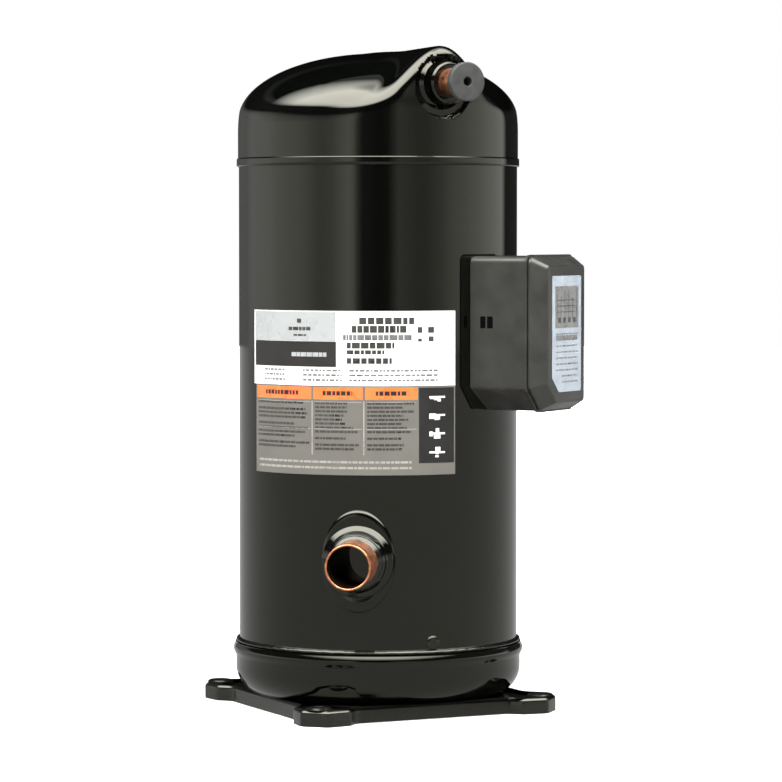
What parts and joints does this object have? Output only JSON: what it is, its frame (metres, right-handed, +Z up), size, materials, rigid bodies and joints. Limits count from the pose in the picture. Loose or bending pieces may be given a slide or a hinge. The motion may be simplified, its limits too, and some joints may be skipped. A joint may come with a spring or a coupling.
{
  "type": "scroll compressor",
  "caption": "Hermetic scroll compressor: black welded shell on a square base, copper suction and discharge stubs, a side terminal box, and its motor and scroll set inside.",
  "frame": {"origin": "on the shaft axis, in the plane that the base rests on", "axes": "+Z up along the shaft; the sides of the square base lie along X and Y; -Y is the front, between the suction stub and the terminal box"},
  "size_m": [0.2383, 0.2655, 0.515],
  "materials": {
    "black_paint": "gloss",
    "bare_steel": "satin",
    "copper": "satin",
    "black_rubber": "matte",
    "box_plastic": "satin",
    "terminal_plastic": "matte",
    "white_plastic": "satin",
    "glass": "gloss",
    "label_white": "satin",
    "label_grey": "satin",
    "cast_iron": "machined",
    "aluminium": "satin",
    "lamination": "satin",
    "winding": "varnished",
    "wire": "satin",
    "seal_plastic": "satin",
    "bearing_bronze": "satin"
  },
  "bodies": {
    "shell": {"base_plate": "black_paint", "bottom_cap": "black_paint", "shell_body": "black_paint", "top_cap": "black_paint", "suction_fitting": "black_paint", "suction_tube": "copper", "suction_baffle": "bare_steel", "discharge_fitting": "black_paint", "discharge_tube": "copper", "terminal_box_body": "box_plastic", "terminal_box_gasket": "black_rubber", "terminal_fence": "bare_steel", "terminal_plug": "bare_steel", "terminal_glass": "glass", "terminal_pins": "bare_steel", "terminal_block": "terminal_plastic", "terminal_nuts": "bare_steel", "ground_screw": "bare_steel", "stator_core": "lamination", "motor_windings": "winding", "motor_protector": "terminal_plastic", "lead_connector": "white_plastic", "motor_leads": "wire", "main_bearing_housing": "cast_iron", "main_bearing_bush": "bearing_bronze", "lower_bearing_bracket": "bare_steel", "lower_bearing_bush": "bearing_bronze", "lower_thrust_washer": "bearing_bronze", "sump_magnet": "bare_steel", "guide_sleeves": "bare_steel", "guide_bolts": "bare_steel", "partition_plate": "bare_steel", "relief_valve": "bearing_bronze", "thermal_disc": "bare_steel", "rating_label": "label_white", "caution_label": "label_grey"},
    "crankshaft": {"crankshaft": "bare_steel", "rotor_core": "lamination", "rotor_cage": "aluminium", "upper_counterweight": "bare_steel", "lower_counterweight": "bare_steel", "drive_bush": "bare_steel", "oil_pickup": "bare_steel"},
    "crank_pin_washer": {"crank_pin_washer": "bearing_bronze"},
    "oldham_ring": {"oldham_ring": "aluminium"},
    "orbiting_scroll": {"orbiting_scroll": "cast_iron", "orbiting_tip_seal": "seal_plastic", "hub_bearing_bush": "bearing_bronze"},
    "fixed_scroll": {"fixed_scroll": "cast_iron", "fixed_tip_seal": "seal_plastic", "discharge_valve_retainer": "bare_steel", "seal_spring": "bare_steel"},
    "discharge_valve": {"discharge_valve_disc": "bare_steel"},
    "floating_seal": {"floating_seal": "cast_iron", "floating_seal_lips": "seal_plastic"},
    "box_cover": {"terminal_box_cover": "box_plastic", "box_label": "label_grey"},
    "discharge_plug": {"discharge_plug": "black_rubber"}
  },
  "joints": [
    {"name": "crank_spin", "type": "hinge", "parent": "shell", "child": "crankshaft", "pos_m": [0, 0, 0.2], "axis": [0, 0, 1], "continuous": true},
    {"name": "scroll_orbit", "type": "hinge", "parent": "crankshaft", "child": "orbiting_scroll", "pos_m": [0.006, 0, 0.35], "axis": [0, 0, 1], "continuous": true},
    {"name": "washer_turn", "type": "hinge", "parent": "crankshaft", "child": "crank_pin_washer", "pos_m": [0.003, 0, 0.321], "axis": [0, 0, 1], "continuous": true},
    {"name": "oldham_turn", "type": "hinge", "parent": "crank_pin_washer", "child": "oldham_ring", "pos_m": [0.006, 0, 0.34], "axis": [0, 0, 1], "continuous": true},
    {"name": "fixed_scroll_lift", "type": "slide", "parent": "shell", "child": "fixed_scroll", "axis": [0, 0, 1], "range_m": [0, 0.0006]},
    {"name": "seal_lift", "type": "slide", "parent": "fixed_scroll", "child": "floating_seal", "axis": [0, 0, 1], "range_m": [0, 0.0008]},
    {"name": "valve_lift", "type": "slide", "parent": "fixed_scroll", "child": "discharge_valve", "axis": [0, 0, 1], "range_m": [0, 0.003]},
    {"name": "cover_pull", "type": "slide", "parent": "shell", "child": "box_cover", "axis": [0.5948, -0.8039, 0], "range_m": [0, 0.08]},
    {"name": "plug_pull", "type": "slide", "parent": "shell", "child": "discharge_plug", "axis": [0.0436, -0.999, 0], "range_m": [0, 0.12]}
  ],
  "couplings": [
    {"joint": "scroll_orbit", "follows": "crank_spin", "ratio": -1},
    {"joint": "washer_turn", "follows": "crank_spin", "ratio": -2},
    {"joint": "oldham_turn", "follows": "crank_spin", "ratio": 1}
  ]
}
